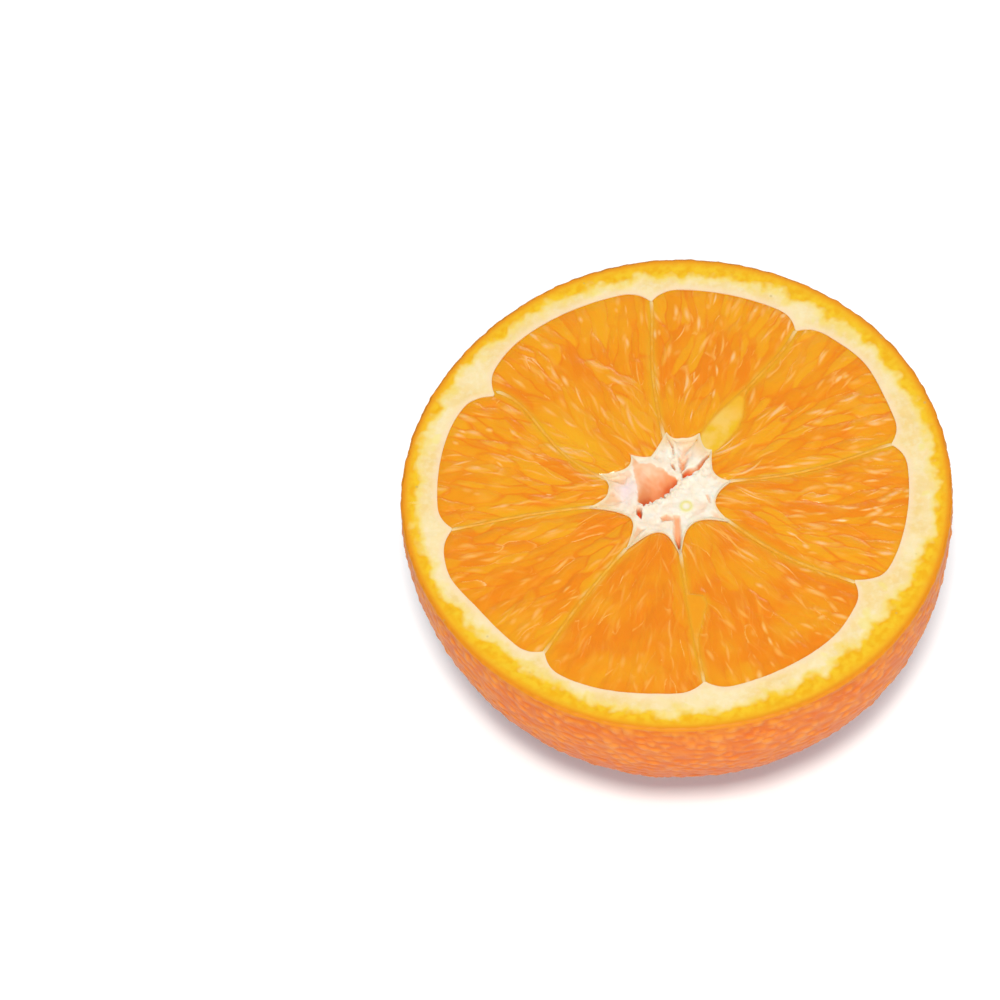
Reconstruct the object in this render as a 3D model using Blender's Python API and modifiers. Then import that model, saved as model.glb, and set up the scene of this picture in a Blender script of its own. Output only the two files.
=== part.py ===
"""Half of an orange, cut across its middle and lying on its rind with the cut face up.

The half is one grown piece, so it is one solid: a turned body whose cut face carries the white rind
ring, eight sunken wedges of pulp, the thin walls between them and the torn hollow in the core.
The origin is the middle of the small flat that it rests on, and +Z runs up the fruit's axis.
"""

import math
from collections import namedtuple

import bpy
from mathutils import Vector, noise

MM = 0.001

# The fruit. It is widest a little below the knife cut, so the piece is slightly more than a half.
CUT_RADIUS = 39.0 * MM
CENTRE_BELOW_CUT = 3.7 * MM
POLE_TO_GIRTH = 0.97
FOOT_RADIUS = 6.0 * MM
SKIN_UNEVENNESS = 0.4 * MM
SKIN_WAVELENGTH = 22.0 * MM
# (waves round the fruit, their height, bearing of a crest in degrees)
GIRTH_WAVES = ((3, 0.20 * MM, -49.0), (5, 0.09 * MM, 32.0))

# The cut face, seen from above. Bearings are degrees round the core, anticlockwise from +X.
CORE_CENTRE = (-1.1 * MM, -0.3 * MM)
PULP_CENTRE = (-0.7 * MM, 0.55 * MM)
PULP_RADIUS = 33.4 * MM
CORNER_ROUNDING = 1.7 * MM
TIP_ROUNDING = 1.5 * MM
SEPTUM_HALF_WIDTH = 0.35 * MM
PULP_WALL = 0.35 * MM
PULP_SUNK = 0.55 * MM
PULP_CROWN = 0.35 * MM
SAC_RELIEF = 0.45 * MM
SAC_LENGTH = 5.0 * MM
SAC_WIDTH = 2.2 * MM
RIM_ROUNDING = 0.35 * MM

# One wall between two wedges: its bearing at the rind, how far it turns on the way to the core, its
# bow midway, how far the white rind runs in along it, and where it opens into the core.
Septum = namedtuple("Septum", "bearing turn bow notch tip")
SEPTA = (
    Septum(-32.0, 1.0, -3.5, 2.5 * MM, 9.4 * MM),
    Septum(12.0, -1.0, -2.5, 1.4 * MM, 8.9 * MM),
    Septum(54.5, 4.0, -1.0, 1.7 * MM, 9.6 * MM),
    Septum(92.5, 0.5, 2.5, 1.5 * MM, 9.9 * MM),
    Septum(143.0, 19.0, -4.7, 2.3 * MM, 10.2 * MM),
    Septum(188.0, 0.0, -1.0, 1.5 * MM, 11.2 * MM),
    Septum(233.2, -0.5, 0.0, 1.5 * MM, 10.9 * MM),
    Septum(276.7, 0.0, -0.6, 1.4 * MM, 10.4 * MM),
)
SEPTUM_OUTER = 31.0 * MM
SEPTUM_INNER = 9.0 * MM
# Where each wedge ends at the core, starting with the wedge that follows the first septum.
WEDGE_TIPS = [reach * MM for reach in (6.0, 6.6, 8.4, 6.0, 8.2, 6.5, 6.0, 5.7)]

# The torn hollow: a cleft through the core, steep along one side and sloping up on the other.
CORE_SUNK = 0.7 * MM
CLEFT_BEARING = 45.0
CLEFT_HALF_LENGTH = 7.2 * MM
CLEFT_MIDDLE = (0.3 * MM, 0.4 * MM)
CLEFT_DEPTH = 5.5 * MM
CLEFT_STEEP_SIDE = 1.2 * MM
CLEFT_SLOPE_SIDE = 5.6 * MM
CLEFT_SLOPE_AT_END = 1.6 * MM

# How finely the solid is faceted.
COLUMNS_PER_WEDGE = 14
COLUMNS = COLUMNS_PER_WEDGE * len(SEPTA)
SKIN_RINGS = 15
PITH_RINGS = 2
PULP_RINGS = 15
CORE_RINGS = 9

GIRTH = CUT_RADIUS / math.sqrt(1 - (CENTRE_BELOW_CUT / (POLE_TO_GIRTH * CUT_RADIUS)) ** 2)
POLE_REACH = POLE_TO_GIRTH * GIRTH
CENTRE_HEIGHT = POLE_REACH * math.sqrt(1 - (FOOT_RADIUS / GIRTH) ** 2)
CUT_HEIGHT = CENTRE_HEIGHT + CENTRE_BELOW_CUT

# Rings of the cut face are counted inwards from the rim.
PULP_EDGE = PITH_RINGS + 1
FIRST_PULP_RING = PULP_EDGE + 1
LAST_PULP_RING = FIRST_PULP_RING + PULP_RINGS
CORE_EDGE = LAST_PULP_RING + 1
FACE_RINGS = CORE_EDGE + CORE_RINGS

# Colours are linear RGB, followed by roughness.
FINISHES = {
    "rind": ((0.90, 0.26, 0.05), 0.42),
    "pith": ((0.96, 0.78, 0.45), 0.60),
    "pulp": ((0.87, 0.33, 0.02), 0.25),
    "core": ((0.96, 0.82, 0.68), 0.60),
}


def smooth_step(low, high, value):
    """0 below low, 1 above high, and an S-shaped rise between them."""
    t = min(1.0, max(0.0, (value - low) / (high - low)))
    return t * t * (3 - 2 * t)


def septum_bearing(index, reach):
    """Bearing, in radians, of a septum where it is this far from the core's centre."""
    turns, index = divmod(index, len(SEPTA))
    septum = SEPTA[index]
    t = min(1.0, max(0.0, (SEPTUM_OUTER - reach) / (SEPTUM_OUTER - SEPTUM_INNER)))
    turned = septum.bearing + septum.turn * t + septum.bow * 4 * t * (1 - t)
    return math.radians(turned + 360 * turns)


def arc_to_septum(index, bearing, reach):
    """Distance along the arc from a point of the cut face to a septum."""
    turn = (bearing - septum_bearing(index, reach) + math.pi) % math.tau - math.pi
    return abs(turn) * reach


def reach_of_circle(centre, radius, bearing):
    """Distance from the core's centre to a circle of the cut face, along a bearing."""
    away = Vector(CORE_CENTRE) - Vector(centre)
    along = away.x * math.cos(bearing) + away.y * math.sin(bearing)
    return math.sqrt(along**2 - away.length_squared + radius**2) - along


def girth_wave(bearing):
    """How far the fruit's outline stands out from a circle."""
    return sum(
        height * math.cos(count * (bearing - math.radians(crest)))
        for count, height, crest in GIRTH_WAVES
    )


def rim_reach(bearing):
    """Distance from the core's centre to the edge of the cut face."""
    return reach_of_circle((0, 0), CUT_RADIUS, bearing) + girth_wave(bearing)


def pulp_reach(bearing):
    """Distance from the core's centre to the rind's inner edge, which is drawn in at each septum."""
    reach = reach_of_circle(PULP_CENTRE, PULP_RADIUS, bearing)
    notches = (
        septum.notch * math.exp(-arc_to_septum(index, bearing, reach) / CORNER_ROUNDING)
        for index, septum in enumerate(SEPTA)
    )
    return reach - sum(notches)


def core_reach(wedge, bearing):
    """Distance from the core's centre to its star-shaped outline."""
    tip = WEDGE_TIPS[wedge]
    reach = tip
    for index in (wedge, (wedge + 1) % len(SEPTA)):
        arc = arc_to_septum(index, bearing, SEPTUM_INNER)
        reach += (SEPTA[index].tip - tip) * math.exp(-arc / TIP_ROUNDING)
    return reach


def column_bearing(wedge, place, ring, reach):
    """Bearing of a mesh column. In the pulp, the outer two on each side hold the septum's wall."""
    first, last = septum_bearing(wedge, reach), septum_bearing(wedge + 1, reach)
    if ring < PULP_EDGE:
        return first + (last - first) * (place + 0.5) / COLUMNS_PER_WEDGE
    if place == 0:
        return first + SEPTUM_HALF_WIDTH / reach
    if place == COLUMNS_PER_WEDGE - 1:
        return last - SEPTUM_HALF_WIDTH / reach
    foot = (SEPTUM_HALF_WIDTH + PULP_WALL) / reach
    share = (place - 1) / (COLUMNS_PER_WEDGE - 3)
    return first + foot + (last - first - 2 * foot) * share


def ring_reach(ring, wedge, bearing):
    """Distance of a ring from the core's centre: rim, pith, edge of the pulp, pulp, then core."""
    if ring < PULP_EDGE:
        rim = rim_reach(bearing)
        if ring == 0:
            return rim
        outer = rim - RIM_ROUNDING
        return outer + (pulp_reach(bearing) - outer) * (ring - 1) / PITH_RINGS
    if ring == PULP_EDGE:
        return pulp_reach(bearing)
    core = core_reach(wedge, bearing)
    if ring >= CORE_EDGE:
        return core * (FACE_RINGS - ring) / CORE_RINGS
    outer, inner = pulp_reach(bearing) - PULP_WALL, core + PULP_WALL
    return outer + (inner - outer) * (ring - FIRST_PULP_RING) / PULP_RINGS


def cleft_depth(x, y):
    """Depth of the torn hollow below the core's own surface, at a point seen from its centre."""
    turn = math.radians(CLEFT_BEARING)
    x, y = x - CLEFT_MIDDLE[0], y - CLEFT_MIDDLE[1]
    along = (x * math.cos(turn) + y * math.sin(turn)) / CLEFT_HALF_LENGTH
    across = y * math.cos(turn) - x * math.sin(turn)
    narrowing = smooth_step(-0.4, 1.0, along)
    slope = CLEFT_SLOPE_SIDE + (CLEFT_SLOPE_AT_END - CLEFT_SLOPE_SIDE) * narrowing
    side = -across / CLEFT_STEEP_SIDE if across < 0 else across / slope
    ends = 1 - smooth_step(0.6, 1.0, abs(along))
    return CLEFT_DEPTH * max(0.0, 1 - side) * ends


def pulp_height(wedge, bearing, reach):
    """Height of the pulp against the cut: sunk at its walls, crowned between them, rough with sacs."""
    to_edge = min(
        pulp_reach(bearing) - reach,
        reach - core_reach(wedge, bearing),
        arc_to_septum(wedge, bearing, reach),
        arc_to_septum(wedge + 1, bearing, reach),
    )
    crown = PULP_CROWN * smooth_step(0, 6 * MM, to_edge)
    sac = noise.noise(Vector((reach / SAC_LENGTH, bearing * reach / SAC_WIDTH, 0)))
    return crown - PULP_SUNK + SAC_RELIEF * sac * smooth_step(0, 2 * MM, to_edge)


def face_point(column, ring):
    """Place of one vertex of the cut face."""
    wedge, place = divmod(column, COLUMNS_PER_WEDGE)
    reach = PULP_RADIUS / 2
    for _ in range(5):
        bearing = column_bearing(wedge, place, ring, max(reach, SEPTUM_INNER / 2))
        reach = ring_reach(ring, wedge, bearing)
    x, y = reach * math.cos(bearing), reach * math.sin(bearing)
    height = 0.0
    if ring == 0:
        height = -RIM_ROUNDING
    elif ring > CORE_EDGE:
        height = -CORE_SUNK - cleft_depth(x, y)
    elif ring >= FIRST_PULP_RING and ring <= LAST_PULP_RING and 0 < place < COLUMNS_PER_WEDGE - 1:
        height = pulp_height(wedge, bearing, reach)
    return Vector((x + CORE_CENTRE[0], y + CORE_CENTRE[1], CUT_HEIGHT + height))


def skin_point(rim, radius, height):
    """Place of one vertex of the skin, below its vertex on the rim, on an outline that isn't round."""
    bearing = math.atan2(rim.y, rim.x)
    out = Vector((math.cos(bearing), math.sin(bearing), 0))
    place = out * radius + Vector((0, 0, height))
    uneven = SKIN_UNEVENNESS * noise.noise(place / SKIN_WAVELENGTH)
    uneven *= smooth_step(0, 10 * MM, CUT_HEIGHT - height)
    stands_out = (girth_wave(bearing) + uneven) * smooth_step(0, 12 * MM, height)
    return place + out * stands_out


def section_profile():
    """Half of the fruit's section: from the core out along the cut, and down the skin to the foot."""
    face = [(CUT_RADIUS * ring / FACE_RINGS, CUT_HEIGHT) for ring in range(FACE_RINGS + 1)]
    top = math.asin(CENTRE_BELOW_CUT / POLE_REACH)
    foot = -math.acos(FOOT_RADIUS / GIRTH)
    latitudes = [top + (foot - top) * ring / SKIN_RINGS for ring in range(1, SKIN_RINGS + 1)]
    skin = [(GIRTH * math.cos(a), CENTRE_HEIGHT + POLE_REACH * math.sin(a)) for a in latitudes]
    return face + skin + [(0.0, 0.0)]


def turned_body(name):
    """The plain turned solid, with a vertex for every column and ring."""
    points = section_profile()
    outline = bpy.data.meshes.new(name + "_profile")
    edges = [(i, i + 1) for i in range(len(points) - 1)]
    outline.from_pydata([(radius, 0, height) for radius, height in points], edges, [])
    profile = bpy.data.objects.new(name + "_profile", outline)
    bpy.context.scene.collection.objects.link(profile)
    screw = profile.modifiers.new("turn", "SCREW")
    screw.steps = screw.render_steps = COLUMNS
    screw.use_merge_vertices = True
    screw.merge_threshold = 0.01 * MM
    graph = bpy.context.evaluated_depsgraph_get()
    turned = bpy.data.meshes.new_from_object(profile.evaluated_get(graph))
    bpy.data.objects.remove(profile)
    bpy.data.meshes.remove(outline)
    turned.name = name
    return turned


def column_of(x, y):
    """Which column a point of the turned body is in, from 0, with a fraction between columns."""
    return math.atan2(y, x) / math.tau * COLUMNS % COLUMNS


def ring_of(x, y):
    """Which ring of the cut face a point of the turned body is in, with a fraction between rings."""
    return (1 - math.hypot(x, y) / CUT_RADIUS) * FACE_RINGS


def on_cut(z):
    return z > CUT_HEIGHT - 0.01 * MM


def finish_of(centre):
    """Which finish a face of the turned body has."""
    ring = ring_of(centre.x, centre.y)
    if not on_cut(centre.z) or ring < 1:
        return "rind"
    in_septum = column_of(centre.x, centre.y) % COLUMNS_PER_WEDGE > COLUMNS_PER_WEDGE - 1
    if ring < PULP_EDGE or in_septum and ring < CORE_EDGE:
        return "pith"
    return "pulp" if ring < CORE_EDGE else "core"


def colour_faces(mesh):
    """Gives each face of the turned body the finish of the layer that it shows."""
    names = list(FINISHES)
    for name, (colour, roughness) in FINISHES.items():
        material = bpy.data.materials.new(name)
        material.use_nodes = True
        shader = material.node_tree.nodes["Principled BSDF"]
        shader.inputs["Base Color"].default_value = (*colour, 1)
        shader.inputs["Roughness"].default_value = roughness
        shader.inputs["Metallic"].default_value = 0.0
        mesh.materials.append(material)
    for face in mesh.polygons:
        face.material_index = names.index(finish_of(face.center))


def lay_out(mesh):
    """Moves every vertex of the turned body to its place on the fruit."""
    rim = [face_point(column, 0) for column in range(COLUMNS)]
    for vertex in mesh.vertices:
        x, y, z = vertex.co
        column = round(column_of(x, y)) % COLUMNS
        if on_cut(z):
            vertex.co = face_point(column, round(ring_of(x, y)))
        elif math.hypot(x, y) > FOOT_RADIUS / 2:
            vertex.co = skin_point(rim[column], math.hypot(x, y), z)


def main():
    for old in list(bpy.data.objects):
        bpy.data.objects.remove(old)
    fruit = bpy.data.collections.new("orange_half")
    bpy.context.scene.collection.children.link(fruit)
    mesh = turned_body("orange_half")
    colour_faces(mesh)
    lay_out(mesh)
    mesh.shade_smooth()
    mesh.set_sharp_from_angle(angle=math.radians(50))
    fruit.objects.link(bpy.data.objects.new("orange_half", mesh))


main()
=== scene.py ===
import math

import bmesh
import bpy
import numpy as np
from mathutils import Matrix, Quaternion, Vector, kdtree, noise


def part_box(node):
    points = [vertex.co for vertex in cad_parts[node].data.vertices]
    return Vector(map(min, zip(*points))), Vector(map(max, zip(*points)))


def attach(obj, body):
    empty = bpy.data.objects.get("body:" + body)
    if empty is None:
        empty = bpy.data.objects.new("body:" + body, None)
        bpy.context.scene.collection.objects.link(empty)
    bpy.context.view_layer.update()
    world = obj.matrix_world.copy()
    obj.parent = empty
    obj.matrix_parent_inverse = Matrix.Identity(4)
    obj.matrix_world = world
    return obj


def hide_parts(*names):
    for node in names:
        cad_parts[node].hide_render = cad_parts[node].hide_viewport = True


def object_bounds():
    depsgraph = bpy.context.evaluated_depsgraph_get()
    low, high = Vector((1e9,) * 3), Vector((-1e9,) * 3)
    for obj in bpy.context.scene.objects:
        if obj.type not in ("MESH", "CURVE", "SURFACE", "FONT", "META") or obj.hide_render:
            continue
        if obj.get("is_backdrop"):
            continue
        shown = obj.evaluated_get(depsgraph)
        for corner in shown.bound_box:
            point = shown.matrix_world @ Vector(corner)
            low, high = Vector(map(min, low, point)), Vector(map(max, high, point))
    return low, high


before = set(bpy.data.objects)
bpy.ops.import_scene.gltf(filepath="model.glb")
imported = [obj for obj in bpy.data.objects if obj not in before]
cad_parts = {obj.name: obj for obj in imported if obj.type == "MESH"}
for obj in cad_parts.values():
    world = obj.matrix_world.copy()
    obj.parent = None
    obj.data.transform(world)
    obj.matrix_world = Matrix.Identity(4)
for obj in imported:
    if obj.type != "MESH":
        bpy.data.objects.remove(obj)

cad_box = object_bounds()

# The rind. It is one grown wall round the fruit: waxy skin packed with oil glands outside, which
# turns through yellow into soft white pith. A knife cut it level, and the cut's edge is hardly
# rounded. Inside it is hollow, for the pulp and the core that grew there.
MM = 0.001
CUT_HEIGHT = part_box("orange_half")[1].z
CUT_RADIUS = 39.0 * MM
CENTRE_BELOW_CUT = 3.7 * MM
POLE_TO_GIRTH = 0.97
FOOT_RADIUS = 6.0 * MM
GIRTH = CUT_RADIUS / math.sqrt(1 - (CENTRE_BELOW_CUT / (POLE_TO_GIRTH * CUT_RADIUS)) ** 2)
POLE_REACH = POLE_TO_GIRTH * GIRTH
CENTRE_HEIGHT = POLE_REACH * math.sqrt(1 - (FOOT_RADIUS / GIRTH) ** 2)
# (waves round the fruit, their height, bearing of a crest in degrees)
GIRTH_WAVES = ((3, 0.20 * MM, -49.0), (5, 0.09 * MM, 32.0))
SKIN_UNEVENNESS = 0.4 * MM
SKIN_WAVELENGTH = 22.0 * MM
# Over these heights the unevenness grows in below the rim, and it fades with the lobes at the foot.
UNEVEN_BELOW_RIM = 10.0 * MM
LOBED_ABOVE_FOOT = 12.0 * MM
RIM_ROUNDING = 0.35 * MM
RIM_WOBBLE = 0.13 * MM
RIM_WOBBLE_FADE = 0.8 * MM
KNIFE_MARKS = 0.07 * MM
CUT_GRAIN = 1.3 * MM
INNER_EDGE_DROP = 0.05 * MM
HOLLOW_DEPTH = 9.0 * MM

CORE_CENTRE = (-1.1 * MM, -0.3 * MM)
PULP_CENTRE = (-0.7 * MM, 0.55 * MM)
PULP_RADIUS = 33.4 * MM
# Each wall between two wedges: distances from the core's centre in mm, and its bearings there.
SEPTA = (
    ((31, 25, 18, 13.5, 9.5), (-31.8, -33.5, -35.4, -34.5, -31.5)),
    ((31.5, 25, 19, 14, 9), (11.5, 10.0, 7.6, 8.5, 10.5)),
    ((31, 25, 19, 15, 9), (54.0, 54.1, 56.5, 57.3, 58.3)),
    ((31, 23, 16.5, 12, 9), (92.8, 94.3, 95.6, 94.1, 92.9)),
    ((31, 29.5, 28, 25, 20, 17, 12.7, 9), (143.2, 142.6, 142.5, 143.5, 148.6, 153.2, 159.2, 162.5)),
    ((31, 20, 13.5, 9), (188, 187, 187.6, 189.5)),
    ((31, 25, 14, 9), (233.4, 232.8, 232.6, 234)),
    ((31, 26, 21, 14, 9), (276.7, 276.2, 276.3, 276.0, 276.4)),
)
SEPTUM_CURVES = [np.polyfit(reaches, bearings, 3) for reaches, bearings in SEPTA]
SEPTA_START, SEPTA_END = 9 * MM, 32 * MM
# How far the pith runs in along each of them, and how wide its spurs are where they start.
PITH_SPURS = [depth * MM for depth in (2.8, 1.7, 2.0, 1.9, 2.4, 1.8, 1.9, 1.6)]
SPUR_SPREAD = 4.4 * MM
SPUR_TAPER = 2.5
# Where the pulp reaches further into the pith, or less far: bearing, distance, and half width.
PULP_SWELLS = ((36, 0.8, 9), (143, -1.2, 9), (201, 1.0, 8), (245, 0.8, 15), (324, -1.2, 8))


def smooth_step(low, high, value):
    """0 below low, 1 above high, and an S-shaped rise between them."""
    t = np.clip((value - low) / (high - low), 0, 1)
    return t * t * (3 - 2 * t)


def hump(distance, half_width):
    """A bell: 1 at no distance, and falling to nothing in about two half widths."""
    return np.exp(-((distance / half_width) ** 2))


def rough(points, size, octaves=2):
    """Smooth random values from about -1 to 1 at each point, with lumps of this size."""
    return np.array([noise.fractal(Vector(p) / size, 1.0, 2.0, octaves) for p in points])


def septum_bearing(index, reach):
    """Bearing in radians of a septum, this far from the core's centre."""
    turns, index = divmod(index, len(SEPTA))
    inside = np.clip(reach, SEPTA_START, SEPTA_END) / MM
    return np.radians(np.polyval(SEPTUM_CURVES[index], inside) + 360 * turns)


def arc_from_septum(index, bearing, reach):
    """Arc from a septum to a point, positive anticlockwise."""
    turn = (bearing - septum_bearing(index, reach) + math.pi) % math.tau - math.pi
    return turn * reach


def reach_of_circle(centre, radius, bearing):
    """Distance from the core's centre to a circle of the cut face, along a bearing."""
    away_x, away_y = CORE_CENTRE[0] - centre[0], CORE_CENTRE[1] - centre[1]
    along = away_x * np.cos(bearing) + away_y * np.sin(bearing)
    return np.sqrt(along**2 - away_x**2 - away_y**2 + radius**2) - along


def girth_wave(bearing):
    """How far the fruit's outline stands out from a circle."""
    return sum(
        height * np.cos(count * (bearing - math.radians(crest)))
        for count, height, crest in GIRTH_WAVES
    )


def rim_reach(bearing):
    """Distance from the core's centre to the edge of the cut face."""
    return reach_of_circle((0, 0), CUT_RADIUS, bearing) + girth_wave(bearing)


def pulp_reach(bearing):
    """Distance from the core's centre to the pith's inner edge, with a spur at each septum."""
    circle = reach_of_circle(PULP_CENTRE, PULP_RADIUS, bearing)
    reach = circle
    for index, spur in enumerate(PITH_SPURS):
        arc = np.abs(arc_from_septum(index, bearing, circle))
        reach = reach - spur * np.clip(1 - arc / SPUR_SPREAD, 0, 1) ** SPUR_TAPER
    for middle, swell, spread in PULP_SWELLS:
        turn = (np.degrees(bearing) - middle + 180) % 360 - 180
        reach = reach + swell * MM * hump(turn, spread)
    return reach


def face_place(reach, bearing, height):
    """Points on or near the cut, from polar places about the core and heights above the cut."""
    x = CORE_CENTRE[0] + reach * np.cos(bearing)
    y = CORE_CENTRE[1] + reach * np.sin(bearing)
    return np.stack([x, y, CUT_HEIGHT + height + 0 * x], axis=1)


def points_of(mesh):
    flat = np.empty(len(mesh.vertices) * 3, np.float32)
    mesh.vertices.foreach_get("co", flat)
    return flat.reshape(-1, 3).astype(np.float64)


def finish_piece(name, mesh, points, material, attributes):
    """Moves a mesh's points to their place and makes it a piece of the fruit."""
    mesh.vertices.foreach_set("co", points.astype(np.float32).ravel())
    for key, values in attributes.items():
        kind, field = ("FLOAT", "value") if values.ndim == 1 else ("FLOAT_VECTOR", "vector")
        layer = mesh.attributes.new(key, kind, "POINT")
        layer.data.foreach_set(field, values.astype(np.float32).ravel())
    mesh.update()
    mesh.shade_smooth()
    mesh.set_sharp_from_angle(angle=math.radians(60))
    mesh.materials.append(material)
    piece = bpy.data.objects.new(name, mesh)
    bpy.context.scene.collection.objects.link(piece)
    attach(piece, "root")
    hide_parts("orange_half")


def ball_mesh(name, columns, rings):
    """A round mesh to be pulled into shape, with each vertex's column and its ring from the top."""
    bm = bmesh.new()
    bmesh.ops.create_uvsphere(bm, u_segments=columns, v_segments=rings, radius=1)
    mesh = bpy.data.meshes.new(name)
    bm.to_mesh(mesh)
    bm.free()
    x, y, z = points_of(mesh).T
    ring = np.round(np.arccos(np.clip(z, -1, 1)) / math.pi * rings)
    column = np.round(np.arctan2(y, x) / math.tau * columns) % columns
    return mesh, column, ring


RIND_COLUMNS = 560
FLOOR_RINGS, WALL_RINGS, CUT_RINGS, EDGE_RINGS, SKIN_RINGS = 3, 3, 24, 4, 118
FIRST_CUT_RING = FLOOR_RINGS + WALL_RINGS
FIRST_SKIN_RING = FIRST_CUT_RING + CUT_RINGS + EDGE_RINGS
RIND_RINGS = FIRST_SKIN_RING + SKIN_RINGS + 1
rind_mesh, column, ring = ball_mesh("rind", RIND_COLUMNS, RIND_RINGS)
bearing = column / RIND_COLUMNS * math.tau
rim, inner = rim_reach(bearing), pulp_reach(bearing)
to_edge = np.clip(ring / FLOOR_RINGS, 0, 1)
up_wall = np.clip((ring - FLOOR_RINGS) / WALL_RINGS, 0, 1)
across_cut = np.clip((ring - FIRST_CUT_RING) / CUT_RINGS, 0, 1)
round_edge = np.radians(90) * np.clip((ring - FIRST_CUT_RING - CUT_RINGS) / EDGE_RINGS, 0, 1)
down_skin = np.clip((ring - FIRST_SKIN_RING) / SKIN_RINGS, 0, 1)
reach = inner * to_edge + (rim - RIM_ROUNDING - inner) * across_cut
reach += RIM_ROUNDING * np.sin(round_edge)
rim_wobble = RIM_WOBBLE * rough(face_place(rim, bearing, 0), CUT_GRAIN)
reach += rim_wobble * smooth_step(0.93, 1, across_cut)
height = -HOLLOW_DEPTH * (1 - up_wall) - RIM_ROUNDING * (1 - np.cos(round_edge))
rind = face_place(reach, bearing, height)
on_cut = (ring >= FIRST_CUT_RING) & (ring <= FIRST_SKIN_RING)
on_skin = ring > FIRST_SKIN_RING
rind[:, 2] += on_cut * (KNIFE_MARKS * rough(rind, CUT_GRAIN, 3) - INNER_EDGE_DROP * (1 - across_cut))

# The skin runs down from each rim point along the fruit's own curve to the foot.
rim_points = face_place(rim, bearing, 0)
around = np.arctan2(rim_points[:, 1], rim_points[:, 0])
top, foot = math.asin((CENTRE_BELOW_CUT - RIM_ROUNDING) / POLE_REACH), -math.acos(FOOT_RADIUS / GIRTH)
latitude = top + (foot - top) * down_skin
skin_radius = GIRTH * np.cos(latitude)
skin_height = CENTRE_HEIGHT + POLE_REACH * np.sin(latitude)
skin_radius[ring == RIND_RINGS] = 0
skin_height[ring == RIND_RINGS] = 0
skin = np.stack([skin_radius * np.cos(around), skin_radius * np.sin(around), skin_height], axis=1)
below_rim = np.maximum(CUT_HEIGHT - RIM_ROUNDING - skin_height, 0)

# Oil glands: one low bump each, with creases between them, and low ripples that run round the fruit.
GLAND_SPACING = 1.75 * MM
SKIN_RELIEF = 0.34 * MM
RIPPLE_SIZE = 2.4 * MM
RIPPLE_FLATNESS = 2.4
RIPPLE_SHARE = 0.36
MEAN_BUMP = 0.65
RELIEF_BELOW_RIM = 0.4 * MM
RELIEF_ABOVE_FOOT = 1.5 * MM
# The glands are spread evenly from this level of a unit ball down to its pole, then shaken. That is
# about this many times half the ball's surface, and a gland takes this share of its spacing's square.
GLAND_TOP_LEVEL = 0.16
GLAND_BAND = 1.15
HEXAGON_FILL = 0.87
GLAND_SHAKE = 0.27 * GLAND_SPACING
chance = np.random.default_rng(11)
gland_count = int(2 * math.pi * GIRTH**2 * GLAND_BAND / (HEXAGON_FILL * GLAND_SPACING**2))
level = np.linspace(GLAND_TOP_LEVEL, -1, gland_count)
turn = np.arange(gland_count) * math.pi * (3 - math.sqrt(5))
wide = np.sqrt(1 - level**2)
glands = np.stack([GIRTH * wide * np.cos(turn), GIRTH * wide * np.sin(turn)], axis=1)
glands = np.column_stack([glands, CENTRE_HEIGHT + POLE_REACH * level])
glands += chance.normal(0, GLAND_SHAKE, glands.shape)
gland_tree = kdtree.KDTree(gland_count)
for index, place in enumerate(glands):
    gland_tree.insert(place, index)
gland_tree.balance()
nearest = np.array([[hit[2] for hit in gland_tree.find_n(place, 2)] for place in skin])
gland = (nearest[:, 1] - nearest[:, 0]) / GLAND_SPACING
ripple = rough(skin * (1, 1, RIPPLE_FLATNESS), RIPPLE_SIZE)
bump = (1 - RIPPLE_SHARE) * smooth_step(0, 0.9, gland) + RIPPLE_SHARE * smooth_step(-0.6, 0.6, ripple)
outwards = np.stack([np.cos(around), np.sin(around)], axis=1)
uneven = SKIN_UNEVENNESS * rough(skin, SKIN_WAVELENGTH) * smooth_step(0, UNEVEN_BELOW_RIM, below_rim)
stands_out = (girth_wave(around) + uneven) * smooth_step(0, LOBED_ABOVE_FOOT, skin_height)
stands_out += rim_wobble * smooth_step(RIM_WOBBLE_FADE, 0, below_rim)
skin[:, :2] += outwards * stands_out[:, None]
skin_rise = SKIN_RELIEF * (bump - MEAN_BUMP)
normal = np.column_stack([outwards * np.cos(latitude)[:, None], np.sin(latitude)])
lift = skin_rise * smooth_step(0, RELIEF_BELOW_RIM, below_rim)
lift *= smooth_step(0, RELIEF_ABOVE_FOOT, skin_height)
skin += normal * lift[:, None]
rind[on_skin] = skin[on_skin]

from_rim = np.where(on_skin, -below_rim, rim - reach) / MM
# Width in mm of the skin's yellow layer on the cut, at these bearings.
FLAVEDO = ((0, 2.0), (20, 2.3), (45, 2.8), (90, 2.8), (105, 2.8), (122, 1.9), (160, 1.8), (200, 1.7),
           (225, 3.5), (240, 3.1), (262, 2.5), (285, 2.6), (302, 3.4), (325, 3.8), (338, 3.1), (347, 2.0))
FLAVEDO_UNEVENNESS = 0.35
FLAVEDO_WAVELENGTH = 3.4
bends, widths = np.array(FLAVEDO).T
flavedo = np.interp(np.degrees(bearing), bends, widths, period=360)
half_radius = CUT_RADIUS / MM / 2
ring_walk = np.stack([np.cos(bearing), np.sin(bearing), 0 * bearing], axis=1) * half_radius
flavedo += FLAVEDO_UNEVENNESS * rough(ring_walk, FLAVEDO_WAVELENGTH)

FLAT_DOME = 0.6  # the cut's own height, next to the skin's bumps from 0 to 1
FACE_LIGHT = 1.30  # how bright a white card is on the cut face


def pigment(red, green, blue):
    """Linear reflectance of what the camera sees as these 0 to 255 values on the cut face."""
    linear = [((value / 255 + 0.055) / 1.055) ** 2.4 for value in (red, green, blue)]
    return (*(value / FACE_LIGHT for value in linear), 1)


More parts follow.
